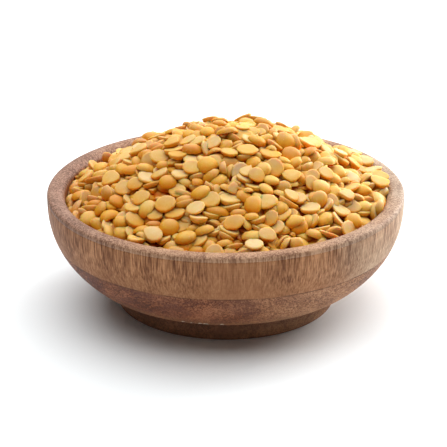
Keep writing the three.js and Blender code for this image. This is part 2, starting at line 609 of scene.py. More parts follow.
@dataclass(frozen=True)
class TurnedWood:
    """Oiled turned wood in two boards with a glue line between them.

    The upper board's fibres stand upright: they streak the wall and show as dots on the rim. The lower
    board's run from front to back: they show as dots in front and as level streaks at the sides.

    Attributes:
        upper: The upper board.
        upper_lit_side: A paler copy of the upper board towards +X, painted sheen where the light falls.
        lower: The lower board.
        lower_lit_side: A paler copy of the lower board on that side, painted sheen as well.
        rim: End grain on the rim.
        rim_lit_side: A paler copy of the rim on that side, painted sheen as well.
        rim_shaded_side: A darker copy of the rim, painted shade towards -X.
        drift: How the edge of the painted sheen wanders.
        drift_width: How far it wanders.
        upper_lit_side_span: Where the upper board turns to its painted sheen.
        lower_lit_side_span: Where the lower board turns to its painted sheen.
        shaded_side_span: Where the rim turns from its painted shade to its main tone.
        quiet_place: X of the stretch in front where the streaks are faint.
        quiet_span: How far from there they come up.
        calm_height: Height over the glue line within which the streaks are faint as well.
        faint_span: Strength of the streaks, from faint to full.
        glue_height: Height of the glue line.
        glue_width: Width of the glue line.
        glue_scale: Cells for each metre along the glue line.
        glue_span: Strength of the glue line, from faint to dark.
        board_seam: Half the height over which one board gives way to the other.
        rim_height: Height of the edge between wall and rim.
        rim_seam: Half the height over which the wall gives way to the rim.
        pores: The dark pores, as dashes along the fibres.
        pore_span: Values of those dashes from which a pore shows.
        pore_clusters: How the pores crowd.
        pore_cluster_span: Strength of the pores between and within the clusters.
        pore_height_span: Strength of the pores at the glue line and at the rim.
        pore_darkness: How dark the pores are.
        pore_depth: Depth of the pores in the relief.
        patch: Colour of the dark clouds in the lower board.
        patches: Those clouds.
        patch_span: Values from which a cloud shows.
        patch_darkness: How strong the clouds are.
        painted_bounce_light: How much paler the body's lower edge is painted, as light bounced up from the
            floor.
        painted_bounce_light_height: Height over that edge within which that painted light fades out.
        foot_shade: Painted shade on the foot: a dark colour, deepest just under the body.
        foot_shade_share: How strong that painted shade is.
        foot_shade_height: Height over the floor within which it comes up.
        under_height: Height below the body's lower edge within which the painted shade begins.
        chip: Colour of bare wood in a chip.
        chip_span: Wear from which bare wood shows.
        unevenness: How much the uneven tone lightens and darkens the wood.
        line_scale: Lathe lines for each metre.
        line_strength: How much they lighten and darken the wood.
        tone_span: Tones of the dark and of the pale streaks, ...
        roughness: ... and their roughness.
        gloss: Strength of the reflection.
        relief: Share of the relief that shows.
        relief_depth: Its depth.
    """

    upper: Board = Board(rgb(192, 136, 92), rgb(153, 101, 63), rgb(102, 58, 32), 0.21)
    upper_lit_side: Board = Board(rgb(219, 194, 165), rgb(192, 164, 134), rgb(141, 109, 86), 0.21)
    lower: Board = Board(
        rgb(160, 102, 70), rgb(121, 68, 40), rgb(78, 40, 25), 0.14, Fibres.FRONT_TO_BACK, 37.0
    )
    lower_lit_side: Board = Board(
        rgb(192, 144, 104), rgb(158, 110, 76), rgb(110, 68, 44), 0.16, Fibres.FRONT_TO_BACK, 37.0
    )
    rim: Board = Board(rgb(188, 148, 116), rgb(158, 118, 88), rgb(118, 80, 58), 0.19)
    rim_lit_side: Board = Board(rgb(190, 170, 150), rgb(164, 143, 122), rgb(126, 103, 87), 0.19)
    rim_shaded_side: Board = Board(rgb(166, 128, 106), rgb(138, 102, 82), rgb(102, 70, 56), 0.19)
    drift: Streaks = Streaks((40.0, 40.0, 60.0))
    drift_width: float = 40.0 * MM
    upper_lit_side_span: Pair = (48.0 * MM, 94.0 * MM)
    lower_lit_side_span: Pair = (12.0 * MM, 56.0 * MM)
    shaded_side_span: Pair = (-54.0 * MM, -20.0 * MM)
    quiet_place: float = 3.0 * MM
    quiet_span: Pair = (3.6 * MM, 18.0 * MM)
    calm_height: float = 11.0 * MM
    faint_span: Pair = (0.45, 1.0)
    glue_height: float = 23.7 * MM
    glue_width: float = 0.4 * MM
    glue_scale: float = 130.0
    glue_span: Pair = (0.15, 0.8)
    board_seam: float = 0.2 * MM
    rim_height: float = 37.4 * MM
    rim_seam: float = 0.15 * MM
    pores: Streaks = Streaks((1900.0, 1900.0, 260.0), 1.0)
    pore_span: Pair = (0.57, 0.70)
    pore_clusters: Streaks = Streaks((150.0, 150.0, 40.0))
    pore_cluster_span: Pair = (0.25, 1.0)
    pore_height_span: Pair = (0.4, 1.0)
    pore_darkness: float = 0.6
    pore_depth: float = 0.5
    patch: Colour = rgb(92, 50, 38)
    patches: Streaks = Streaks((90.0, 90.0, 170.0), 3.0, 0.6)
    patch_span: Pair = (0.48, 0.62)
    patch_darkness: float = 0.55
    painted_bounce_light: float = 0.2
    painted_bounce_light_height: float = 6.0 * MM
    foot_shade: Colour = rgb(62, 32, 22)
    foot_shade_share: float = 0.55
    foot_shade_height: float = 6.0 * MM
    under_height: float = 0.6 * MM
    chip: Colour = rgb(238, 220, 196)
    chip_span: Pair = (0.22, 0.5)
    unevenness: float = 0.18
    line_scale: float = 1700.0
    line_strength: float = 0.24
    tone_span: Pair = (0.3, 0.7)
    roughness: Pair = (0.70, 0.50)
    gloss: float = 0.28
    relief: float = 0.35
    relief_depth: float = 0.15 * MM

    def spot(self, writer: NodeWriter) -> Spot:
        """Find where the point that is seen lies in the wood.

        Args:
            writer: Writer of the material's tree.

        Returns:
            Its place.
        """
        place = writer.place()
        across, deep, height = writer.add("ShaderNodeSeparateXYZ", {0: place}).outputs
        # Painted sheen: the wood is made paler towards +X, where the light falls, along a wandering edge.
        wander = self.drift.values(writer, place)
        lit_side_edge = writer.math("MULTIPLY_ADD", wander, self.drift_width, across)
        return Spot(place, across, deep, height, lit_side_edge)

    def pore_mask(self, writer: NodeWriter, spot: Spot) -> Socket:
        """Mask of the dark pores: dashes along the fibres in clusters, most of them under the rim.

        Args:
            writer: Writer of the material's tree.
            spot: Where the point lies.

        Returns:
            The mask.
        """
        dashes = writer.span(self.pores.values(writer, spot.place), self.pore_span)
        clusters = self.pore_clusters.values(writer, spot.place)
        many = writer.span(clusters, NOISE_MIDDLE, self.pore_cluster_span)
        high = writer.span(spot.height, (self.glue_height, self.rim_height), self.pore_height_span)
        return writer.product(dashes, many, high)

    def upper_colour(self, writer: NodeWriter, spot: Spot, lit_side: Socket, tone: Socket) -> Socket:
        """Colour of the upper board: its streaks are faint low on the wall and in one stretch in front.

        Args:
            writer: Writer of the material's tree.
            spot: Where the point lies.
            lit_side: Share of the paler copy painted as sheen on the lit side.
            tone: Tone of the figure.

        Returns:
            The colour.
        """
        quiet = writer.span(writer.away(spot.across, self.quiet_place), self.quiet_span, self.faint_span)
        calm_span = (self.glue_height, self.glue_height + self.calm_height)
        calm = writer.span(spot.height, calm_span, self.faint_span)
        strength = writer.product(calm, quiet)
        figure = writer.math("MULTIPLY_ADD", writer.math("SUBTRACT", tone, 0.5), strength, 0.5)
        # Painted sheen: a paler copy of the board on the lit side.
        return writer.mix(lit_side, self.upper.colour(writer, figure), self.upper_lit_side.colour(writer, figure))

    def lower_colour(self, writer: NodeWriter, spot: Spot) -> Socket:
        """Colour of the lower board: dark clouds, a paler copy on the lit side as painted sheen, an edge
        painted paler as bounced light, and painted shade on the foot.

        Args:
            writer: Writer of the material's tree.
            spot: Where the point lies.

        Returns:
            The colour.
        """
        # Painted sheen: a paler copy of the lower board on the lit side; its dark clouds keep off it.
        lit_side = writer.span(spot.lit_side_edge, self.lower_lit_side_span)
        tone = self.lower.tone(writer, spot.place)
        colour = writer.mix(lit_side, self.lower.colour(writer, tone), self.lower_lit_side.colour(writer, tone))
        clouds = self.patches.values(writer, spot.place)
        dark = writer.span(clouds, self.patch_span, (0.0, self.patch_darkness))
        colour = writer.mix(writer.product(dark, writer.math("SUBTRACT", 1.0, lit_side)), colour, self.patch)
        # Painted bounce light: the body's lower edge is made paler, as light from the floor falls on it.
        worn_span = (BODY_HEIGHT, BODY_HEIGHT + self.painted_bounce_light_height)
        painted_bounce_light = writer.span(spot.height, worn_span, (self.painted_bounce_light, 0.0))
        colour = writer.mix(painted_bounce_light, colour, self.lower_lit_side.pale)
        # Painted shade: the foot is darkened most just under the body's overhang.
        under = writer.span(spot.height, (BODY_HEIGHT - self.under_height, BODY_HEIGHT), (1.0, 0.0))
        foot_shade_share = writer.span(spot.height, (0.0, self.foot_shade_height), (0.0, self.foot_shade_share))
        return writer.mix(writer.product(under, foot_shade_share), colour, self.foot_shade)

    def rim_colour(self, writer: NodeWriter, spot: Spot, lit_side: Socket, tone: Socket) -> Socket:
        """Colour of the rim's end grain, painted paler as sheen towards +X and darker as shade towards -X.

        Args:
            writer: Writer of the material's tree.
            spot: Where the point lies.
            lit_side: Share of the paler copy painted as sheen on the lit side.
            tone: Tone of the figure.

        Returns:
            The colour.
        """
        # Painted sheen towards +X and painted shade towards -X on the rim.
        colour = writer.mix(lit_side, self.rim.colour(writer, tone), self.rim_lit_side.colour(writer, tone))
        shaded_side = writer.span(spot.across, self.shaded_side_span, (1.0, 0.0))
        return writer.mix(shaded_side, colour, self.rim_shaded_side.colour(writer, tone))

    def glue_mask(self, writer: NodeWriter, spot: Spot) -> Socket:
        """Mask of the glue line, darker in some stretches than in others.

        Args:
            writer: Writer of the material's tree.
            spot: Where the point lies.

        Returns:
            The mask.
        """
        line = writer.span(writer.away(spot.height, self.glue_height), (0.0, self.glue_width), (1.0, 0.0))
        stretches = writer.span(writer.noise(spot.place, self.glue_scale), NOISE_MIDDLE, self.glue_span)
        return writer.product(line, stretches)

    def gains(self, writer: NodeWriter, spot: Spot) -> Socket:
        """Factors that lighten and darken the wood: an uneven tone and the lines that the lathe left.

        The lines run round the axis, because they are noise of the radius and the height alone.

        Args:
            writer: Writer of the material's tree.
            spot: Where the point lies.

        Returns:
            The factors, as a grey colour.
        """
        deep_square = writer.product(spot.deep, spot.deep)
        radius = writer.math("SQRT", writer.math("MULTIPLY_ADD", spot.across, spot.across, deep_square))
        section = writer.add("ShaderNodeCombineXYZ", {0: radius, 1: spot.height}).outputs[0]
        turned = writer.noise(section, self.line_scale)
        lines = writer.math("MULTIPLY_ADD", turned, self.line_strength, 1.0 - self.line_strength / 2)
        mottle = Effect.MOTTLE.place(
            writer, {"Vector": spot.place, "Cloud Scale": 60.0, "Grit Scale": 1800.0}
        )
        gain = writer.math("MULTIPLY_ADD", mottle.outputs["Tone"], self.unevenness, lines)
        return writer.add("ShaderNodeCombineColor", {0: gain, 1: gain, 2: gain}).outputs[0]

    def material(self) -> bpy.types.Material:
        """Build the finish.

        Returns:
            The material.
        """
        material, writer, shader = new_material("turned_wood")
        spot = self.spot(writer)
        # Painted sheen: share of the paler copy of the wood on the lit side.
        lit_side = writer.span(spot.lit_side_edge, self.upper_lit_side_span)
        tone = self.upper.tone(writer, spot.place)
        pores = self.pore_mask(writer, spot)
        seam = (self.glue_height - self.board_seam, self.glue_height + self.board_seam)
        edge = (self.rim_height - self.rim_seam, self.rim_height + self.rim_seam)
        colour = writer.mix(
            writer.span(spot.height, seam),
            self.lower_colour(writer, spot),
            self.upper_colour(writer, spot, lit_side, tone),
        )
        colour = writer.mix(writer.product(pores, self.pore_darkness), colour, self.upper.dark)
        rim = self.rim_colour(writer, spot, lit_side, tone)
        colour = writer.mix(writer.span(spot.height, edge), colour, rim)
        colour = writer.mix(self.glue_mask(writer, spot), colour, self.lower.dark)
        colour = writer.mix(1.0, colour, self.gains(writer, spot), "MULTIPLY")
        colour = writer.mix(writer.span(writer.mark("wear"), self.chip_span), colour, self.chip)
        relief = writer.math("SUBTRACT", tone, writer.product(pores, self.pore_depth))
        writer.feed(shader, {
            "Base Color": colour,
            "Roughness": writer.span(tone, self.tone_span, self.roughness),
            "Normal": writer.bump(relief, self.relief, self.relief_depth),
            "Specular IOR Level": self.gloss,
        })
        return material


@dataclass(frozen=True)
class SplitDal:
    """Husked split dal: a pale flat face, a deeper yellow back, and a tone of its own for every split.

    Attributes:
        name: Name of the material.
        backs: Ramp of the domed backs, from the deepest tone to the palest.
        faces: Ramp of the flat faces, from the deepest tone to the palest.
        unevenness: How much the tone varies within a split.
        rim: Colour of the thin edge round a flat face, painted brighter yellow as the glow of light through
            it.
        rim_glow_share: How much of that painted glow shows.
        speck_share: How much the pale specks show.
        under: Painted shade: a deeper, warmer colour on a split's lower side.
        under_span: Heights within a split over which that colour fades.
        under_share: How much of it shows.
        top_highlight: Painted highlight: a paler colour on a split's upper side.
        top_highlight_span: Heights within a split over which that painted highlight comes up.
        top_highlight_share: How much of that painted highlight shows.
        crevice_shade: Painted shade: deep warm colour of a split where its neighbours hide the sky from it.
        crevice_shade_span: Hidden shares of the sky over which that painted shade comes up.
        roughness: Roughness of the backs and of the flat faces.
        gloss: Strength of the reflection.
        relief: Share of the fine grit that shows as a relief.
        relief_depth: Its depth.
        glow: Share of the light that passes under the surface.
        glow_radius: How far red, green and blue light pass, as shares of ...
        glow_depth: ... this depth.
    """

    name: str
    backs: tuple[Colour, Colour, Colour] = (rgb(204, 130, 19), rgb(216, 159, 42), rgb(224, 182, 88))
    faces: tuple[Colour, Colour, Colour] = (rgb(203, 149, 59), rgb(212, 171, 95), rgb(219, 190, 141))
    unevenness: float = 0.55
    rim: Colour = rgb(224, 174, 58)
    rim_glow_share: float = 0.35
    speck_share: float = 0.22
    under: Colour = rgb(226, 138, 4)
    under_span: Pair = (0.20, 0.62)
    under_share: float = 0.9
    top_highlight: Colour = rgb(206, 176, 134)
    top_highlight_span: Pair = (0.50, 0.95)
    top_highlight_share: float = 0.5
    crevice_shade: Colour = rgb(235, 106, 2)
    crevice_shade_span: Pair = (0.30, 0.85)
    roughness: Pair = (0.50, 0.70)
    gloss: float = 0.2
    relief: float = 0.25
    relief_depth: float = 0.12 * MM
    glow: float = 0.8
    glow_radius: Triple = (1.0, 0.45, 0.12)
    glow_depth: float = 2.0 * MM

    def material(self) -> bpy.types.Material:
        """Build the finish.

        Returns:
            The material.
        """
        material, writer, shader = new_material(self.name)
        place = writer.place()
        flat = writer.mark("flat_face")
        top = writer.mark("top")
        mottle = Effect.MOTTLE.place(
            writer, {"Vector": place, "Cloud Scale": 420.0, "Grit Scale": 2600.0, "Grit Share": 0.35}
        )
        specks = Effect.SPECKS.place(writer, {"Vector": place, "Scale": 1300.0, "Amount": 0.10})
        tone = writer.math("MULTIPLY_ADD", mottle.outputs["Tone"], self.unevenness, writer.mark("tone"))
        back = writer.ramp(tone, EVEN_STOPS, self.backs)
        face = writer.ramp(tone, EVEN_STOPS, self.faces)
        colour = writer.mix(flat, back, face)
        # Painted glow: the thin edge round a flat face is made brighter yellow.
        colour = writer.mix(writer.product(writer.mark("rim"), self.rim_glow_share), colour, self.rim)
        colour = writer.mix(writer.product(specks.outputs["Mask"], self.speck_share), colour, self.faces[2])
        # Painted shade: each split's lower side is made deeper and warmer.
        colour = writer.mix(writer.span(top, self.under_span, (self.under_share, 0.0)), colour, self.under)
        # Painted highlight: each split's upper side is made paler.
        colour = writer.mix(writer.span(top, self.top_highlight_span, (0.0, self.top_highlight_share)), colour, self.top_highlight)
        # Painted shade: deep warm colour where neighbouring splits hide the sky.
        hidden = writer.span(writer.mark("sheltered"), self.crevice_shade_span)
        colour = writer.mix(hidden, colour, self.crevice_shade)
        writer.feed(shader, {
            "Base Color": colour,
            "Roughness": writer.span(flat, (0.0, 1.0), self.roughness),
            "Normal": writer.bump(mottle.outputs["Height"], self.relief, self.relief_depth),
            "Specular IOR Level": self.gloss,
            "Subsurface Weight": self.glow,
            "Subsurface Radius": self.glow_radius,
            "Subsurface Scale": self.glow_depth,
        })
        return material


@dataclass(frozen=True)
class ShadedDeepDal:
    """The dal below the top layers, which shows only as dark warm gaps: painted shade, darker and redder
    than the splits.

    Attributes:
        deep: Colour of its darkest places.
        bright: Colour of its brightest places.
        tone_span: Tones of those places.
        roughness: Its roughness.
    """

    deep: Colour = rgb(150, 58, 6)
    bright: Colour = rgb(196, 96, 12)
    tone_span: Pair = (0.2, 0.8)
    roughness: float = 0.7

    def material(self) -> bpy.types.Material:
        """Build the finish.

        Returns:
            The material.
        """
        material, writer, shader = new_material("shaded_deep_dal")
        mottle = Effect.MOTTLE.place(
            writer, {"Vector": writer.place(), "Cloud Scale": 260.0, "Grit Scale": 1500.0}
        )
        tone = writer.math("MULTIPLY_ADD", mottle.outputs["Tone"], 0.5, 0.5)
        # Painted shade: the core is coloured darker and redder than the splits, for the gaps between them.
        colour = writer.ramp(tone, self.tone_span, (self.deep, self.bright))
        writer.feed(shader, {"Base Color": colour, "Roughness": self.roughness})
        return material


@dataclass(frozen=True)
class PaleFloor:
    """A plain white studio floor.

    Attributes:
        white: Its colour.
        roughness: Its roughness.
        gloss: Strength of the reflection.
    """

    white: Colour = (0.893, 0.923, 0.934)
    roughness: float = 0.9
    gloss: float = 0.1

    def material(self) -> bpy.types.Material:
        """Build the finish.

        Returns:
            The material.
        """
        material, writer, shader = new_material("pale_floor")
        writer.feed(shader, {
            "Base Color": self.white,
            "Roughness": self.roughness,
            "Specular IOR Level": self.gloss,
        })
        return material


# Bowl


@dataclass(frozen=True)
class Hollow:
    """The inside of the bowl.

    Attributes:
        floor_height: Height of its floor.
        floor_radius: Radius of its floor.
        rim_height: Height of the rim's inner edge.
        rim_radius: Radius of the rim's inner edge.
        rise: How upright the wall ends.
        fullness: How full the wall is.
        opening: How far it opens above that edge, for each unit of height.
    """

    floor_height: float = 9.5 * MM
    floor_radius: float = 30.0 * MM
    rim_height: float = 36.9 * MM
    rim_radius: float = 54.0 * MM
    rise: float = 2.2
    fullness: float = 1.2
    opening: float = 0.5

    def radius(self, height: Array) -> Array:
        """Radius at a height.

        The floor's radius grows to the rim's as (1 - (1 - s)^rise)^(1 / fullness), and then opens evenly.

        Args:
            height: Heights over the floor that the bowl stands on.

        Returns:
            The radius at each height.
        """
        share = np.clip((height - self.floor_height) / (self.rim_height - self.floor_height), 0.0, 1.0)
        grown = (1 - (1 - share) ** self.rise) ** (1 / self.fullness)
        over = np.maximum(height - self.rim_height, 0.0)
        return self.floor_radius + (self.rim_radius - self.floor_radius) * grown + self.opening * over


@dataclass
class TurnedBowl:
    """A bowl glued up from boards and turned as one: a set-in foot, a full wall and a domed rim.

    Attributes:
        hollow: Its inside.
        finish: Its wood.
        foot_radius: Radius of the foot on the floor.
        foot_chamfer: Width of the chamfer round its lower edge.
        foot_top_radius: Radius of the foot under the body.
        foot_top_height: Height of the foot under the body.
        body_radius: Radius of the body's crisp lower edge.
        wall_radius: Radius of the wall just under the rim.
        wall_height: Height of the wall just under the rim.
        wall_rise: How upright the wall ends.
        wall_fullness: How full the wall is.
        groove: Depth of the turned groove between wall and rim.
        rim_edge_height: Height of the rim's outer edge.
        rim_crown: Height of the rim's crown over its inner edge.
        rim_squareness: How square the rim's outer edge is, as the power of a superellipse.
        rim_softness: The same for its inner edge.
        corner: Distance from a crisp corner at which its rounding starts.
        corner_steps: Points on each rounding.
        wall_steps: Points along the wall.
        rim_steps: Points along the rim.
        inside_steps: Points along the wall inside.
        sides: Corners on each ring.
        wobble: How far hand turning departs from round.
        wobble_turns: Angles that set where its two and its three waves start.
        nicks: Number of small chips along the body's lower edge.
        nick_sizes: Least and greatest size of a small chip.
        worn_nicks: Number of larger chips on the worn arc of that edge.
        worn_nick_sizes: Least and greatest size of a larger chip.
        worn_arc: Angles between which that arc lies.
        nick_depth: Depth of a chip of size one.
        nick_width: Half its width along the edge.
        nick_reach: How far it reaches in and out, and up and down.
        seed: Seed of the chips.
    """

    hollow: Hollow = Hollow()
    finish: TurnedWood = TurnedWood()
    foot_radius: float = 37.0 * MM
    foot_chamfer: float = 0.3 * MM
    foot_top_radius: float = 38.4 * MM
    foot_top_height: float = 6.6 * MM
    body_radius: float = 45.0 * MM
    wall_radius: float = 59.95 * MM
    wall_height: float = 37.1 * MM
    wall_rise: float = 2.37
    wall_fullness: float = 1.08
    groove: float = 0.12 * MM
    rim_edge_height: float = 37.7 * MM
    rim_crown: float = 2.5 * MM
    rim_squareness: float = 2.9
    rim_softness: float = 2.0
    corner: float = 0.5 * MM
    corner_steps: int = 5
    wall_steps: int = 40
    rim_steps: int = 41
    inside_steps: int = 20
    sides: int = 720
    wobble: float = 0.08 * MM
    wobble_turns: Pair = (0.7, 2.1)
    nicks: int = 22
    nick_sizes: Pair = (0.3, 0.65)
    worn_nicks: int = 6
    worn_nick_sizes: Pair = (0.7, 1.2)
    worn_arc: Pair = (math.radians(246), math.radians(274))
    nick_depth: float = 0.35 * MM
    nick_width: float = 0.6 * MM
    nick_reach: Pair = (2.2 * MM, 1.5 * MM)
    seed: int = 11

    def outline(self) -> Array:
        """The half section from the axis under the foot, out and over the rim, to the axis on the floor.

        The wall's radius grows from the body's edge as (1 - (1 - s)^rise)^(1 / fullness). The rim is two
        quarters of superellipses, |x / a|^n + |z / b|^n = 1. Corners between these stretches are rounded.

        Returns:
            Radius and height of each point.
        """
        rim_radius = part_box("bowl")[1].x
        foot = np.array([
            [0.0, 0.0],
            [self.foot_radius - self.foot_chamfer, 0.0],
            [self.foot_radius, self.foot_chamfer],
            [self.foot_top_radius, self.foot_top_height],
        ])
        share = np.linspace(0.0, 1.0, self.wall_steps)
        grown = (1 - (1 - share) ** self.wall_rise) ** (1 / self.wall_fullness)
        wall_radius = self.body_radius + (self.wall_radius - self.body_radius) * grown
        wall_height = BODY_HEIGHT + (self.wall_height - BODY_HEIGHT) * share
        wall = np.stack([wall_radius, wall_height], axis=1)
        groove = np.array([[self.wall_radius - self.groove, (self.wall_height + self.rim_edge_height) / 2]])
        turn = np.linspace(0.0, math.pi, self.rim_steps)
        half = (rim_radius - self.hollow.rim_radius) / 2
        crown = self.hollow.rim_height + self.rim_crown
        outer = turn < math.pi / 2
        edge = np.where(outer, self.rim_edge_height, self.hollow.rim_height)
        power = 2 / np.where(outer, self.rim_squareness, self.rim_softness)
        across = np.sign(np.cos(turn)) * np.abs(np.cos(turn)) ** power
        up = np.abs(np.sin(turn)) ** power
        rim = np.stack([rim_radius - half * (1 - across), edge + (crown - edge) * up], axis=1)
        height = np.linspace(self.hollow.rim_height, self.hollow.floor_height, self.inside_steps)[1:]
        inside = np.stack([self.hollow.radius(height), height], axis=1)
        middle = np.array([[0.0, self.hollow.floor_height]])
        crisp = np.concatenate([foot, wall, groove, rim, inside, middle])
        return rounded(crisp, self.corner, self.corner_steps)

    def wear(self, rings: Array, angle: Array) -> Array:
        """Chips along the body's lower edge, each a bell-shaped dent round its place.

        A chip of size s at a distance d along the edge counts s exp(-(d / (s width))^2), the strongest chip
        counts, and across the edge this fades as exp(-(x / reach)^2 - (z / reach)^2).

        Args:
            rings: Radius and height of each ring.
            angle: Angles of the corners on a ring.

        Returns:
            Wear of each corner, a row for each ring.
        """
        rng = np.random.default_rng(self.seed)
        anywhere = rng.uniform(0.0, 2 * math.pi, self.nicks)
        place = np.concatenate([anywhere, rng.uniform(*self.worn_arc, self.worn_nicks)])
        small = rng.uniform(*self.nick_sizes, self.nicks)
        size = np.concatenate([small, rng.uniform(*self.worn_nick_sizes, self.worn_nicks)])
        turned = (angle[:, None] - place + math.pi) % (2 * math.pi) - math.pi
        along = np.abs(turned) * self.body_radius
        chip = (size * np.exp(-((along / (self.nick_width * size)) ** 2))).max(axis=1)
        from_edge = (rings - np.array([self.body_radius, BODY_HEIGHT])) / np.array(self.nick_reach)
        return np.exp(-(from_edge**2).sum(axis=1))[:, None] * chip

    def surface(self) -> Surface:
        """Carry the outline round the axis, with a slight wobble and chips along the body's lower edge.

        The wobble has two waves round the axis and three more of half their strength. It and the depth of
        the chips change the outline's radius.

        Returns:
            The closed surface, with the chips marked as wear.
        """
        outline = self.outline()
        rings = outline[1:-1]
        angle = np.linspace(0.0, 2 * math.pi, self.sides, endpoint=False)
        wave = np.cos(2 * angle + self.wobble_turns[0]) + 0.5 * np.cos(3 * angle + self.wobble_turns[1])
        wear = self.wear(rings, angle)
        radius = rings[:, :1] + self.wobble * wave * (rings[:, :1] / self.wall_radius)
        radius = radius - self.nick_depth * wear
        height = np.broadcast_to(rings[:, 1:], radius.shape)
        points = np.stack([radius * np.cos(angle), radius * np.sin(angle), height], axis=-1).reshape(-1, 3)
        poles = np.array([[0.0, 0.0, outline[0, 1]], [0.0, 0.0, outline[-1, 1]]])
        quads, triangles = ring_faces(len(rings), self.sides, len(points), len(points) + 1)
        marks = {"wear": np.concatenate([np.clip(wear, 0.0, 1.0).ravel(), [0.0, 0.0]])}
        return Surface(np.concatenate([points, poles]), quads, triangles, marks)

    def build(self) -> list[bpy.types.Object]:
        """Make the bowl and dress it."""
        return [self.surface().piece("turned_bowl", self.finish.material(), "wood", "bowl")]


# Heap of dal


@dataclass(frozen=True)
class Dome:
    """The heap's outer shape: a dome with a rounded top and straight flanks.

    Attributes:
        peak: Height of its top.
        centre: Where its top lies on the plan.
        drop: How far it falls, ...
        roundness: ... round over this radius and straight beyond it.
        brim: Height at which it levels off along the bowl's wall.
        brim_tilt: Slopes by which that brim rises along X and Y.
    """

    peak: float = 59.2 * MM
    centre: Pair = (2.1 * MM, 2.0 * MM)
    drop: float = 24.0 * MM
    roundness: float = 33.5 * MM
    brim: float = 40.0 * MM
    brim_tilt: Pair = (0.048, 0.022)

    def height(self, x: Array, y: Array) -> Array:
        """Height over a place: peak - drop (sqrt(1 + (distance / roundness)^2) - 1), but at least the brim.

        Args:
            x: X of each place.
            y: Y of each place.

        Returns:
            The heights.
        """
        reach = np.hypot(x - self.centre[0], y - self.centre[1]) / self.roundness
        domed = self.peak - self.drop * (np.hypot(1.0, reach) - 1.0)
        return np.maximum(domed, self.brim + self.brim_tilt[0] * x + self.brim_tilt[1] * y)

    def normal(self, x: Array, y: Array) -> Array:
        """Upward normal over a place, from the dome's slope along X and Y.

        Args:
            x: X of each place.
            y: Y of each place.

        Returns:
            The normals.
        """
        away = np.stack([x - self.centre[0], y - self.centre[1]], axis=-1) / self.roundness
        fall = self.drop / self.roundness / np.hypot(1.0, np.linalg.norm(away, axis=-1, keepdims=True))
        return unit(np.concatenate([away * fall, np.ones_like(fall)], axis=-1))


@dataclass(frozen=True)
class SplitForm:
    """The form of one kind of split, in shares of its radius and thickness.

    Attributes:
        radius: Middle radius.
        radius_spread: Share by which the radius varies.
        thickness: Thickness as a share of the radius.
        profile: Radius and height of each ring from the flat face to the domed back.
        cuts: Number of straight breaks across the outline.
    """

    radius: float
    radius_spread: float
    thickness: float
    profile: tuple[Pair, ...]
    cuts: int = 0


class SplitKind(Enum):
    """The kinds of split in the heap."""

    PLUMP = SplitForm(
        radius=3.05 * MM,
        radius_spread=0.17,
        thickness=0.75,
        profile=((0.80, 0.0), (0.97, 0.04), (1.0, 0.17), (0.91, 0.55), (0.62, 0.88)),
    )
    SLIM = SplitForm(
        radius=3.15 * MM,
        radius_spread=0.17,
        thickness=0.60,
        profile=((0.80, 0.0), (0.97, 0.05), (1.0, 0.20), (0.88, 0.58), (0.57, 0.89)),
    )
    BROKEN = SplitForm(
        radius=2.8 * MM,
        radius_spread=0.18,
        thickness=0.70,
        profile=((0.80, 0.0), (0.97, 0.05), (1.0, 0.20), (0.90, 0.58), (0.60, 0.89)),
        cuts=2,
    )

    @property
    def piece_name(self) -> str:
        """Name of the piece that holds all splits of this kind."""
        return f"dal_{self.name.lower()}_splits"


@dataclass
class Contacts:
    """Places where a split presses on another or on what holds the heap.

    Attributes:
        first: Number of the split that is pushed along the normal.
        second: Number of the split that is pushed the other way, or -1 at a wall.
        place: Where they touch.
        normal: Direction in which the first is pushed.
        depth: How far they overlap.
    """

    first: Array
    second: Array
    place: Array
    normal: Array
    depth: Array

    @staticmethod
    def joined(parts: list["Contacts"]) -> "Contacts":
        """Join lists of contacts into one."""
        names = ("first", "second", "place", "normal", "depth")
        return Contacts(*(np.concatenate([getattr(part, name) for part in parts]) for name in names))


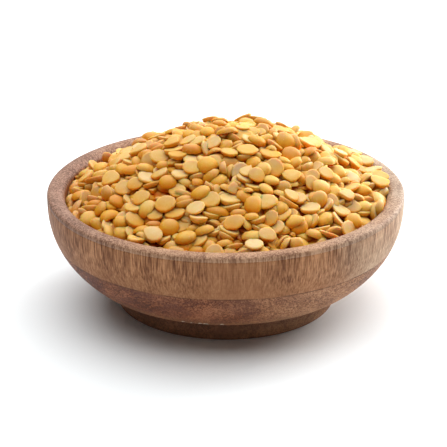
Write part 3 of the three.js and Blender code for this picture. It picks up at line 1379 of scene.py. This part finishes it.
@dataclass
class LooseSplits:
    """Loose splits that are pressed together on a core until none lies in another.

    Each split is a rigid cluster of balls. In every round the balls that overlap push their splits apart
    and turn them, the core, the bowl and the dome push them back, and all sink towards the core.

    Attributes:
        kinds: Number of each split's kind.
        radius: Radius of each split.
        thickness: Thickness of each split.
        outline: Outline of each split at even angles, as shares of its radius.
        proud: How far each split may stand over the dome.
        centres: Place of each split's middle.
        turns: Axes of each split as columns, the last one towards its domed back.
        sinks: Share of the sinking that each split takes part in.
        middle: Height of a split's middle, as a share of its thickness.
        edge_ball: Radius of the balls along a split's outline, as a share of its thickness.
        inner_ball: The same for the balls within.
        middle_ball: The same for the ball in the middle.
        inner_count: Number of the balls within.
        inner_reach: How far out they lie, as a share of the outline.
        ball_rise: Height of a ball's centre over the flat face, as a share of the ball's radius.
        inertia: Resistance to turning, as a share of the squared radius.
        dome_push: Share of a push that the dome gives back.
        eagerness: How much more than the mean of its pushes a split takes.
        sheltering: How far away a neighbour still shelters a split.
        shelter_ball: Size of a sheltering neighbour, as a share of its radius.
        rounds: Number of rounds.
        search_every: Rounds from one search for near pairs to the next.
        search_slack: Distance between two splits up to which a search counts them as near.
        seedling: Share of their size at which the splits start.
        growing: Share of the rounds in which they grow to their size.
        sinking: How far the splits sink in the first round.
        fading: How fast the sinking fades, as a share of it for all rounds.
    """

    kinds: Array
    radius: Array
    thickness: Array
    outline: Array
    proud: Array
    centres: Array
    turns: Array
    sinks: Array

    middle: float = 0.42
    edge_ball: float = 0.29
    inner_ball: float = 0.41
    middle_ball: float = 0.5
    inner_count: int = 3
    inner_reach: float = 0.45
    ball_rise: float = 1.04
    inertia: float = 0.3
    dome_push: float = 0.3
    eagerness: float = 1.6
    sheltering: float = 9.0 * MM
    shelter_ball: float = 0.75
    rounds: int = 300
    search_every: int = 8
    search_slack: float = MM
    seedling: float = 0.4
    growing: float = 0.6
    sinking: float = 0.05 * MM
    fading: float = 1.5

    def balls(self) -> tuple[Array, Array]:
        """The balls of each split: one at each corner of its outline, some within and one in the middle.

        Returns:
            Places from each split's middle, and radii.
        """
        count, sides = self.outline.shape
        around = np.arange(sides) / sides * 2 * math.pi
        thick = self.thickness[:, None]
        edge, inner, core = self.edge_ball * thick, self.inner_ball * thick, self.middle_ball * thick
        every = sides // self.inner_count
        ring = self.outline * self.radius[:, None] - edge
        within = self.inner_reach * self.radius[:, None] * self.outline[:, ::every]
        middle = np.zeros((count, 1))
        x = np.concatenate([ring * np.cos(around), within * np.cos(around[::every]), middle], axis=1)
        y = np.concatenate([ring * np.sin(around), within * np.sin(around[::every]), middle], axis=1)
        sizes = (np.repeat(edge, sides, 1), np.repeat(inner, self.inner_count, 1), core)
        size = np.concatenate(sizes, axis=1)
        z = size * self.ball_rise - self.middle * thick
        return np.stack([x, y, z], axis=-1), size

    def near_pairs(self) -> Array:
        """Pairs of splits whose middles are close enough for them to touch, give or take some slack.

        Returns:
            Numbers of the two splits, a row for each pair.
        """
        square = (self.centres**2).sum(axis=1)
        apart = square[:, None] + square[None, :] - 2 * self.centres @ self.centres.T
        reach = self.radius[:, None] + self.radius[None, :] + self.search_slack
        return np.argwhere(np.triu(apart < reach**2, 1))

    def touching(self, placed: Array, size: Array, pairs: Array) -> Contacts:
        """Contacts between splits, one for each pair of balls that overlap.

        Args:
            placed: Place of every ball.
            size: Radius of every ball.
            pairs: Pairs of splits to test.

        Returns:
            The contacts.
        """
        here, there = placed[pairs[:, 0]], placed[pairs[:, 1]]
        square = (here**2).sum(-1)[:, :, None] + (there**2).sum(-1)[:, None, :]
        square -= 2 * here @ there.transpose(0, 2, 1)
        reach = size[pairs[:, 0]][:, :, None] + size[pairs[:, 1]][:, None, :]
        pair, ball, other = np.nonzero(square < reach**2)
        between = here[pair, ball] - there[pair, other]
        apart = np.linalg.norm(between, axis=1)
        normal = unit(between)
        place = there[pair, other] + normal * size[pairs[pair, 1], other][:, None]
        return Contacts(pairs[pair, 0], pairs[pair, 1], place, normal, reach[pair, ball, other] - apart)

    def held(
        self, placed: Array, size: Array, dome: Dome, hollow: Hollow, core_depth: float
    ) -> list[Contacts]:
        """Contacts with the core below, the bowl around and the dome's outer shape above.

        Args:
            placed: Place of every ball.
            size: Radius of every ball.
            dome: The heap's outer shape.
            hollow: The bowl's inside.
            core_depth: Depth of the core below the dome.

        Returns:
            A list of contacts for each of the three.
        """
        x, y, z = placed[..., 0], placed[..., 1], placed[..., 2]
        up = dome.normal(x, y)
        over = (z - dome.height(x, y)) * up[..., 2]
        out = np.hypot(x, y)
        inwards = np.stack([-x / out, -y / out, np.zeros_like(x)], axis=-1)
        depths = (
            (size - core_depth - over, up, 1.0),
            (out + size - hollow.radius(z), inwards, 1.0),
            (over + size - self.proud[:, None], -up, self.dome_push),
        )
        parts = []
        for depth, normal, share in depths:
            split, ball = np.nonzero(depth > 0)
            push = normal[split, ball]
            place = placed[split, ball] - push * size[split, ball][:, None]
            nobody = np.full(len(split), -1)
            parts.append(Contacts(split, nobody, place, push, share * depth[split, ball]))
        return parts

    def press(self, contacts: Contacts) -> None:
        """Move and turn the splits out of their contacts.

        A contact's push is shared out by how easily each split gives way there, 1 + |lever x normal|^2 / I,
        with the inertia I. A split takes the mean of its pushes, weighed by their depth, more than fully.

        Args:
            contacts: The contacts of this round.
        """
        count = len(self.radius)
        inertia = self.inertia * self.radius**2
        paired = contacts.second >= 0
        second = np.where(paired, contacts.second, 0)
        twist = np.cross(contacts.place - self.centres[contacts.first], contacts.normal)
        other_twist = np.cross(contacts.place - self.centres[second], contacts.normal)
        give = 1 + (twist**2).sum(1) / inertia[contacts.first]
        other_give = np.where(paired, 1 + (other_twist**2).sum(1) / inertia[second], 0.0)
        push = contacts.depth / (give + other_give)
        move = contacts.normal * push[:, None]
        turn = twist * (push / inertia[contacts.first])[:, None]
        other_turn = -other_twist * (push / inertia[second])[:, None]
        who = np.concatenate([contacts.first, second[paired]])
        moves = np.concatenate([move, -move[paired]])
        turns = np.concatenate([turn, other_turn[paired]])
        depth = np.concatenate([contacts.depth, contacts.depth[paired]])
        weight = (self.eagerness * depth / np.bincount(who, depth, count)[who])[:, None]
        steps = np.concatenate([moves, turns], axis=1) * np.minimum(weight, 1.0)
        total = np.stack([np.bincount(who, step, count) for step in steps.T], axis=1)
        self.centres = self.centres + total[:, :3]
        self.turn_by(total[:, 3:])

    def turn_by(self, spin: Array) -> None:
        """Turn each split by a small rotation vector, and square its axes up again.

        Args:
            spin: Rotation vector of each split.
        """
        axes = self.turns + np.cross(spin[:, None, :], self.turns.transpose(0, 2, 1)).transpose(0, 2, 1)
        back = unit(axes[:, :, 2])
        side = unit(axes[:, :, 0] - back * (axes[:, :, 0] * back).sum(1, keepdims=True))
        self.turns = np.stack([side, np.cross(back, side), back], axis=-1)

    def shelter(self, points: Array, chosen: Array) -> Array:
        """How much of the sky over each corner the neighbouring splits hide.

        A neighbour is taken as a ball of radius b. At a distance d, and an angle a from upright, it hides
        about b^2 / (d^2 + b^2) of what lies that way, and counts by the cosine of a.

        Args:
            points: Corner places of the chosen splits, a row for each split.
            chosen: Numbers of those splits.

        Returns:
            Hidden shares from 0 to 1, a row for each split.
        """
        apart = np.linalg.norm(self.centres[chosen][:, None, :] - self.centres, axis=-1)
        others = chosen[:, None] != np.arange(len(self.radius))
        row, other = np.nonzero(others & (apart < self.sheltering))
        between = self.centres[other][:, None, :] - points[row]
        square = (between**2).sum(axis=-1)
        ball = (self.shelter_ball * self.radius[other])[:, None] ** 2
        hidden = np.maximum(between[..., 2], 0.0) / np.sqrt(square) * ball / (square + ball)
        total = np.zeros(points.shape[:2])
        np.add.at(total, row, hidden)
        return 1 - np.exp(-total)

    def settle(self, dome: Dome, hollow: Hollow, core_depth: float) -> None:
        """Press the splits together while they grow to their size, so that none is caught across another.

        Args:
            dome: The heap's outer shape.
            hollow: The bowl's inside.
            core_depth: Depth of the core below the dome.
        """
        balls, size = self.balls()
        for number in range(self.rounds):
            if number % self.search_every == 0:
                pairs = self.near_pairs()
            grown = min(1.0, self.seedling + (1 - self.seedling) * number / (self.growing * self.rounds))
            placed = self.centres[:, None, :] + grown * balls @ self.turns.transpose(0, 2, 1)
            sized = grown * size
            between = self.touching(placed, sized, pairs)
            self.press(Contacts.joined([between, *self.held(placed, sized, dome, hollow, core_depth)]))
            faded = max(0.0, 1.0 - self.fading * number / self.rounds)
            self.centres[:, 2] -= self.sinking * faded * self.sinks
        overlap = between.depth.mean() / MM
        log.info("settled: %d touching balls, mean overlap %.3f mm", len(between.depth), overlap)


@dataclass(frozen=True)
class EdgeSplit:
    """A split that stands on edge near the crest.

    Attributes:
        x: Its place to the right of the bowl's axis.
        y: Its place behind the axis.
        rise: Height of its middle over the dome, as a share of its radius.
        facing: Angle in degrees by which its back is turned from the camera to the right.
        lean: How far its back leans up, for each unit forwards.
    """

    x: float
    y: float
    rise: float
    facing: float
    lean: float = 0.25

    def back(self) -> Array:
        """Direction of its domed back."""
        turn = math.radians(self.facing)
        return unit(np.array([math.sin(turn), -math.cos(turn), self.lean]))


@dataclass
class DalHeap:
    """The heap: loose splits of three kinds over a core that fills the bowl.

    Attributes:
        hollow: The bowl's inside.
        dome: The heap's outer shape.
        count: Number of loose splits.
        kind_shares: Share of each kind, in the order of SplitKind.
        layer: Thickness of the loose splits over the core.
        back_up_share: Share of the splits that start with their back up.
        levelling: How far the splits' first lie follows the horizon rather than the dome.
        tilt: Spread of the splits' first tilt.
        proud: How far the splits stand over the dome on average.
        standing: Splits that stand on edge near the crest.
        wall_gap: Distance from the bowl's wall within which no split starts.
        jitter: Angle by which the splits' first places stray from their spiral.
        depth_span: Depths of the splits' first places, as shares of the layer.
        thickness_span: Factors by which the splits' thickness varies.
        waviness: Spread of the two to five waves round a split's outline.
        notched: Share of the splits with a dent where the germ sat.
        notch_span: Depth of that dent, as a share of the radius.
        break_span: Distance of a break from a split's middle, as a share of the radius.
        dish_span: How far a flat face is dished up, as a share of the thickness.
        lean: Spread of the sideways lean of a split's back.
        wedge: Spread of a split's wedge shape.
        warp: Spread of a split's warp.
        tone: Middle and spread of the splits' tones.
        painted_light_drift: Painted light: how much paler the splits are made at the bowl's right side,
            where more light falls, than in its middle.
        flat_rings: How far each ring of a split counts as its flat face.
        rim_rings: How far each ring of a split counts as its thin edge.
        core_lift: How far the visible core stands over the one that the splits rest on.
        core_fall: Power by which that lift is lost towards the core's edge.
        core_sides: Corners around the core.
        core_wall_steps: Rings up the core's wall.
        core_top_steps: Rings over the core's top.
        relief: Height of the low relief on the core.
        relief_width: Length of its waves.
        relief_turns: Angles that set where its waves along X and Y start.
        relief_fade: How fast it comes up from the core's edge.
        gap: Clearance between the core and the bowl.
        sides: Corners around a split.
        seed: Seed of the heap.
    """

    hollow: Hollow = Hollow()
    dome: Dome = Dome()
    count: int = 1290
    kind_shares: Triple = (0.50, 0.38, 0.12)
    layer: float = 6.4 * MM
    back_up_share: float = 0.54
    levelling: float = 0.85
    tilt: float = 0.25
    proud: float = 1.1 * MM
    standing: tuple[EdgeSplit, ...] = (
        EdgeSplit(7.2 * MM, 24.0 * MM, rise=-0.05, facing=65.0),
        EdgeSplit(11.0 * MM, 23.0 * MM, rise=-0.35, facing=10.0),
        EdgeSplit(-4.8 * MM, 25.0 * MM, rise=-0.45, facing=20.0),
        EdgeSplit(-12.8 * MM, 26.0 * MM, rise=-0.5, facing=-30.0),
    )
    wall_gap: float = 1.2 * MM
    jitter: float = 0.3
    depth_span: Pair = (0.15, 0.95)
    thickness_span: Pair = (0.9, 1.1)
    waviness: tuple[float, ...] = (0.085, 0.042, 0.022, 0.012)
    notched: float = 0.4
    notch_span: Pair = (0.05, 0.18)
    break_span: Pair = (0.25, 0.9)
    dish_span: Pair = (-0.05, 0.10)
    lean: float = 0.10
    wedge: float = 0.07
    warp: float = 0.06
    tone: Pair = (0.5, 0.24)
    painted_light_drift: float = 0.32
    flat_rings: tuple[float, ...] = (1.0, 0.7, 0.0, 0.0, 0.0)
    rim_rings: tuple[float, ...] = (0.3, 1.0, 0.15, 0.0, 0.0)
    core_lift: float = 1.4 * MM
    core_fall: int = 8
    core_sides: int = 120
    core_wall_steps: int = 12
    core_top_steps: int = 30
    relief: float = 0.6 * MM
    relief_width: float = 5.5 * MM
    relief_turns: Pair = (0.4, 1.1)
    relief_fade: float = 4.0
    gap: float = 0.5 * MM
    sides: int = 12
    seed: int = 5

    def around(self) -> Array:
        """Even angles of the corners around a split."""
        return np.arange(self.sides) / self.sides * 2 * math.pi

    def outlines(self, kinds: Array, rng: np.random.Generator) -> Array:
        """Outlines of the splits, at even angles u.

        An outline is 1 + the sum of a_k cos(k u + p_k) for two to five waves, cut by straight breaks
        c / cos(u - b) on broken splits. Some have a dent at the first angle.

        Args:
            kinds: Number of each split's kind.
            rng: Source of random numbers.

        Returns:
            Shares of the radius, one row for each split.
        """
        count = len(kinds)
        around = self.around()
        waves = 2 + np.arange(len(self.waviness))
        strength = rng.normal(0.0, 1.0, (count, len(waves))) * np.array(self.waviness)
        phase = rng.uniform(0.0, 2 * math.pi, (count, len(waves)))
        outline = 1 + (strength[..., None] * np.cos(waves[:, None] * around + phase[..., None])).sum(axis=1)
        outline[:, 0] -= rng.uniform(*self.notch_span, count) * (rng.random(count) < self.notched)
        cuts = np.array([kind.value.cuts for kind in SplitKind])[kinds]
        least_facing = 0.05  # so that a break lies far out where the outline is turned away from it
        for number in range(cuts.max()):
            facing = np.cos(around - rng.uniform(0.0, 2 * math.pi, (count, 1)))
            cut = rng.uniform(*self.break_span, (count, 1)) / np.maximum(facing, least_facing)
            outline = np.where(cuts[:, None] > number, np.minimum(outline, cut), outline)
        return outline

    def scattered(self, rng: np.random.Generator) -> LooseSplits:
        """Scatter the splits through the layer, before they are pressed together.

        Their places lie on a golden-angle spiral, r = R sqrt(i / n), at random depths. Their backs point up
        or down, nearly along the dome's normal, and are tilted by a random vector, a few of them steeply.

        Args:
            rng: Source of random numbers.

        Returns:
            The loose splits.
        """
        forms = [kind.value for kind in SplitKind]
        kinds = rng.choice(len(forms), self.count, p=self.kind_shares)
        sizes = np.array([[form.radius, form.radius_spread, form.thickness] for form in forms])[kinds]
        radius = sizes[:, 0] * (1 + sizes[:, 1] * rng.uniform(-1, 1, self.count))
        thickness = radius * sizes[:, 2] * rng.uniform(*self.thickness_span, self.count)
        index = np.arange(self.count)
        angle = index * math.pi * (3 - math.sqrt(5)) + rng.uniform(-self.jitter, self.jitter, self.count)
        out = (self.hollow.rim_radius - self.wall_gap) * np.sqrt((index + 0.5) / self.count)
        x, y = out * np.cos(angle), out * np.sin(angle)
        depth = rng.uniform(*self.depth_span, self.count) * self.layer
        normal = self.dome.normal(x, y)
        centres = np.stack([x, y, self.dome.height(x, y)], axis=1) - normal * depth[:, None]
        way = np.where(rng.random(self.count) < self.back_up_share, 1.0, -1.0)
        lie = unit(normal * (1 - self.levelling) + np.array([0.0, 0.0, self.levelling]))
        steep = rng.exponential(1.0, (self.count, 1))
        back = unit(lie * way[:, None] + self.tilt * steep * rng.normal(0.0, 1.0, (self.count, 3)))
        side = unit(np.cross(back, rng.normal(0.0, 1.0, (self.count, 3))))
        turns = np.stack([side, np.cross(back, side), back], axis=-1)
        proud = rng.exponential(self.proud, self.count)
        outline = self.outlines(kinds, rng)
        sinks = np.ones(self.count)
        loose = LooseSplits(kinds, radius, thickness, outline, proud, centres, turns, sinks)
        self.stand(loose)
        return loose

    def stand(self, loose: LooseSplits) -> None:
        """Stand the splits nearest to the chosen places on edge, wedged so that they don't sink.

        Args:
            loose: The scattered splits.
        """
        for edge in self.standing:
            back = edge.back()
            side = unit(np.cross(back, np.array([0.0, 0.0, 1.0])))
            nearest = np.argmin(np.hypot(loose.centres[:, 0] - edge.x, loose.centres[:, 1] - edge.y))
            radius = loose.radius[nearest]
            loose.turns[nearest] = np.stack([side, np.cross(back, side), back], axis=-1)
            loose.proud[nearest] = (1.0 + edge.rise) * radius
            loose.centres[nearest] = (edge.x, edge.y, self.dome.height(edge.x, edge.y) + edge.rise * radius)
            loose.sinks[nearest] = 0.0

    def split_points(
        self, loose: LooseSplits, chosen: Array, form: SplitForm, rng: np.random.Generator
    ) -> Array:
        """Corner places of splits of one kind.

        A split is its profile carried round its own outline, at angles u. Its flat face is dished by
        d (1 - r^2), it is a little wedge-shaped, w r cos(u), and warped, s r^2 cos(2 u), and its back leans
        to one side by the square of its height.

        Args:
            loose: The settled splits.
            chosen: Numbers of the splits.
            form: Their form.
            rng: Source of random numbers.

        Returns:
            A row for each split: its rings, and then the middles of its flat face and of its back.
        """
        count = len(chosen)
        around = self.around()
        share, rise = np.array(form.profile).T
        dish = rng.uniform(*self.dish_span, (count, 1, 1))
        lean = rng.normal(0.0, self.lean, (count, 2))
        wedge = rng.normal(0.0, self.wedge, (count, 1, 1))
        warp = rng.normal(0.0, self.warp, (count, 1, 1))
        on_flat = (np.arange(len(share)) == 0)[:, None]
        out = share[:, None] * loose.outline[chosen][:, None, :]
        height = rise[:, None] + np.where(on_flat, dish * (1 - out**2), 0.0)
        height = height + wedge * out * np.cos(around) + warp * out**2 * np.cos(2 * around)
        rings = np.stack([out * np.cos(around), out * np.sin(around), height], axis=-1)
        poles = np.zeros((count, 2, 3))
        poles[:, 0, 2] = dish[:, 0, 0]
        poles[:, 1, 2] = 1.0
        local = np.concatenate([rings.reshape(count, -1, 3), poles], axis=1)
        local[..., :2] += lean[:, None, :] * np.clip(local[..., 2:], 0.0, 1.0) ** 2
        local[..., 2] -= loose.middle
        radius, thickness = loose.radius[chosen], loose.thickness[chosen]
        local *= np.stack([radius, radius, thickness], axis=1)[:, None, :]
        return loose.centres[chosen][:, None, :] + local @ loose.turns[chosen].transpose(0, 2, 1)

    def split_marks(
        self, loose: LooseSplits, chosen: Array, points: Array, rng: np.random.Generator
    ) -> dict[str, Array]:
        """Marks of splits of one kind.

        Args:
            loose: The settled splits.
            chosen: Numbers of the splits.
            points: Their corner places, a row for each split.
            rng: Source of random numbers.

        Returns:
            Each split's tone with painted light towards the right, its flat face, its rim, where its
            neighbours shelter it for painted shade, and its upper side for painted highlight and shade.
        """
        count, each = points.shape[:2]
        centres = loose.centres[chosen]
        flat_rows = np.concatenate([np.repeat(self.flat_rings, self.sides), [1.0, 0.0]])
        rim_rows = np.concatenate([np.repeat(self.rim_rings, self.sides), [0.0, 0.0]])
        # Painted light: tones drift paler towards the bowl's right side, where more light falls.
        drift = self.painted_light_drift * centres[:, 0] / self.hollow.rim_radius
        tone = np.clip(rng.normal(*self.tone, count) + drift, 0.0, 1.0)
        rise = (points[..., 2] - centres[:, None, 2]) / loose.radius[chosen][:, None]
        return {
            "tone": np.repeat(tone, each),
            "flat_face": np.tile(flat_rows, count),
            "rim": np.tile(rim_rows, count),
            # Sky hidden by neighbours, used for the painted crevice shade.
            "sheltered": loose.shelter(points, chosen).ravel(),
            # Height within each split, used for the painted highlight on top and the painted shade below.
            "top": np.clip(0.5 + 0.5 * rise, 0.0, 1.0).ravel(),
        }

    def splits_surface(self, loose: LooseSplits, kind: SplitKind, rng: np.random.Generator) -> Surface:
        """All splits of one kind as one surface.

        Args:
            loose: The settled splits.
            kind: The kind to make.
            rng: Source of random numbers.

        Returns:
            The joined surface with its marks.
        """
        form = kind.value
        chosen = np.nonzero(loose.kinds == list(SplitKind).index(kind))[0]
        points = self.split_points(loose, chosen, form, rng)
        marks = self.split_marks(loose, chosen, points, rng)
        count, each = points.shape[:2]
        quads, triangles = ring_faces(len(form.profile), self.sides, each - 2, each - 1)
        start = (np.arange(count) * each)[:, None, None]
        all_quads = (start + quads).reshape(-1, 4)
        all_triangles = (start + triangles).reshape(-1, 3)
        return Surface(points.reshape(-1, 3), all_quads, all_triangles, marks)

    def core_surface(self) -> Surface:
        """The core: it follows the bowl's hollow, and its top is the dome less the layer of loose splits.

        But for its edge the top is lifted a little, by c (1 - r^n), and it has a low relief: the product of
        two sine waves along X and Y, about as wide as a split.

        Returns:
            The closed surface.
        """
        angle = np.linspace(0.0, 2 * math.pi, self.core_sides, endpoint=False)
        depth = self.layer - self.core_lift
        edge_radius = self.hollow.rim_radius - 2 * self.gap
        edge = self.dome.height(edge_radius * np.cos(angle), edge_radius * np.sin(angle)) - self.layer
        low = self.hollow.floor_height + self.gap
        share = np.linspace(0.0, 1.0, self.core_wall_steps)[:, None]
        wall_height = low + (edge - low) * share
        wall_radius = self.hollow.radius(wall_height - self.gap) - self.gap
        inwards = np.linspace(1.0, 0.0, self.core_top_steps, endpoint=False)[1:, None]
        top_radius = wall_radius[-1] * inwards
        x, y = top_radius * np.cos(angle), top_radius * np.sin(angle)
        wave = 2 * math.pi / self.relief_width
        turn_x, turn_y = self.relief_turns
        relief = self.relief * np.sin(wave * x + turn_x) * np.sin(wave * y + turn_y)
        relief = relief * np.minimum(1.0, self.relief_fade * (1 - inwards))
        fall = self.core_lift * inwards**self.core_fall
        top_height = self.dome.height(x, y) - depth - fall + relief
        radius = np.concatenate([wall_radius, top_radius])
        height = np.concatenate([wall_height, top_height])
        points = np.stack([radius * np.cos(angle), radius * np.sin(angle), height], axis=-1).reshape(-1, 3)
        peak = self.dome.height(np.zeros(1), np.zeros(1))[0] - depth
        poles = np.array([[0.0, 0.0, low], [0.0, 0.0, peak]])
        quads, triangles = ring_faces(len(radius), self.core_sides, len(points), len(points) + 1)
        return Surface(np.concatenate([points, poles]), quads, triangles)

    def build(self) -> list[bpy.types.Object]:
        """Scatter and settle the splits, then make and dress them and their core.

        Returns:
            The pieces.
        """
        rng = np.random.default_rng(self.seed)
        loose = self.scattered(rng)
        loose.settle(self.dome, self.hollow, self.layer)
        pieces = [self.core_surface().piece("dal_core", ShadedDeepDal().material(), "dal", "dal_heap")]
        for kind in SplitKind:
            surface = self.splits_surface(loose, kind, rng)
            finish = SplitDal(f"{kind.name.lower()}_dal").material()
            pieces.append(surface.piece(kind.piece_name, finish, "dal", "dal_heap"))
        return pieces


# Studio


@dataclass(frozen=True)
class Softbox:
    """A square soft light that looks at the dish.

    Attributes:
        name: Name of the light.
        place: Where it stands.
        side: Length of its sides.
        power: Its power in watts.
    """

    name: str
    place: Triple
    side: float
    power: float

    def build(self, target: Vector) -> bpy.types.Object:
        """Stand the light up and turn it to the dish.

        Args:
            target: Point that it looks at.

        Returns:
            The light.
        """
        data = bpy.data.lights.new(self.name, "AREA")
        data.size = self.side
        data.energy = self.power
        light = bpy.data.objects.new(self.name, data)
        light.location = self.place
        light.rotation_euler = (target - Vector(self.place)).to_track_quat("-Z", "Y").to_euler()
        bpy.context.scene.collection.objects.link(light)
        return light


@dataclass
class Studio:
    """The camera, the lights and a plain pale floor.

    Attributes:
        distance: From the camera to the point that it looks at.
        elevation: The camera's angle above the floor, degrees.
        target: Point that the camera looks at.
        focal_pixels: Focal length in pixels of the photograph.
        target_pixel: Where the photograph shows that point.
        sensor: Width of the camera's sensor in millimetres.
        near: Distance from which the camera sees.
        floor_half: Half the side of the floor.
        sky: Strength of the even light from all round.
        lights: The soft lights.
    """

    distance: float = 0.7
    elevation: float = 22.88
    target: Triple = (0.0, 0.0, 0.02)
    focal_pixels: float = 2057.3
    target_pixel: Pair = (225.77, 240.0)
    sensor: float = 36.0
    near: float = 0.01
    floor_half: float = 1.0
    sky: float = 0.107
    lights: tuple[Softbox, ...] = (
        Softbox("key", place=(0.5, 0.45, 0.225), side=0.4, power=5.7),
        Softbox("top", place=(0.0, 0.2, 1.5), side=2.5, power=51.0),
        Softbox("back", place=(0.0, 1.4, 0.6), side=1.2, power=6.3),
    )

    def camera(self) -> bpy.types.Object:
        """Stand the camera where the photograph was taken.

        Returns:
            The camera.
        """
        data = bpy.data.cameras.new("camera")
        data.sensor_width = self.sensor
        data.lens = self.sensor * self.focal_pixels / PHOTO_SIDE
        data.shift_x = (PHOTO_SIDE / 2 - self.target_pixel[0]) / PHOTO_SIDE
        data.shift_y = (self.target_pixel[1] - PHOTO_SIDE / 2) / PHOTO_SIDE
        data.clip_start = self.near
        camera = bpy.data.objects.new("camera", data)
        rise = math.radians(self.elevation)
        away = Vector((0.0, -math.cos(rise), math.sin(rise))) * self.distance
        camera.location = Vector(self.target) + away
        camera.rotation_euler = (math.pi / 2 - rise, 0.0, 0.0)
        bpy.context.scene.collection.objects.link(camera)
        bpy.context.scene.camera = camera
        return camera

    def floor(self) -> bpy.types.Object:
        """Lay the floor.

        Returns:
            The floor.
        """
        corners = np.array([[-1, -1, 0], [1, -1, 0], [1, 1, 0], [-1, 1, 0]]) * self.floor_half
        mesh = bpy.data.meshes.new("floor")
        mesh.from_pydata(corners.tolist(), [], [[0, 1, 2, 3]])
        mesh.materials.append(PaleFloor().material())
        floor = bpy.data.objects.new("floor", mesh)
        bpy.context.scene.collection.objects.link(floor)
        return floor

    def backdrop(self) -> None:
        """Light the dish evenly from all round, before a backdrop that the camera sees as white."""
        white = (1.0, 1.0, 1.0)
        world = bpy.data.worlds.new("studio")
        world.use_nodes = True
        writer = NodeWriter(world.node_tree)
        even = world.node_tree.nodes["Background"]
        writer.feed(even, {"Color": white, "Strength": self.sky})
        backdrop = writer.add("ShaderNodeBackground", {"Color": white, "Strength": 1.0})
        seen = writer.add("ShaderNodeLightPath").outputs["Is Camera Ray"]
        both = writer.add("ShaderNodeMixShader", {0: seen, 1: even.outputs[0], 2: backdrop.outputs[0]})
        writer.feed(world.node_tree.nodes["World Output"], {"Surface": both.outputs[0]})
        bpy.context.scene.world = world

    def build(self) -> None:
        """Set up the camera, the floor, the even light and the soft lights."""
        self.camera()
        self.floor()
        self.backdrop()
        for light in self.lights:
            light.build(Vector(self.target))
        bpy.context.scene.view_settings.view_transform = "Standard"


def main() -> None:
    """Build the studio and the dish, and log the corners and faces of each dressed piece."""
    logging.basicConfig(level=logging.INFO, format="%(name)s: %(message)s")
    Studio().build()
    for part in (TurnedBowl(), DalHeap()):
        for piece in part.build():
            mesh = piece.data
            log.info("%s: %d corners, %d faces", piece.name, len(mesh.vertices), len(mesh.polygons))


if __name__ == "__main__":
    main()
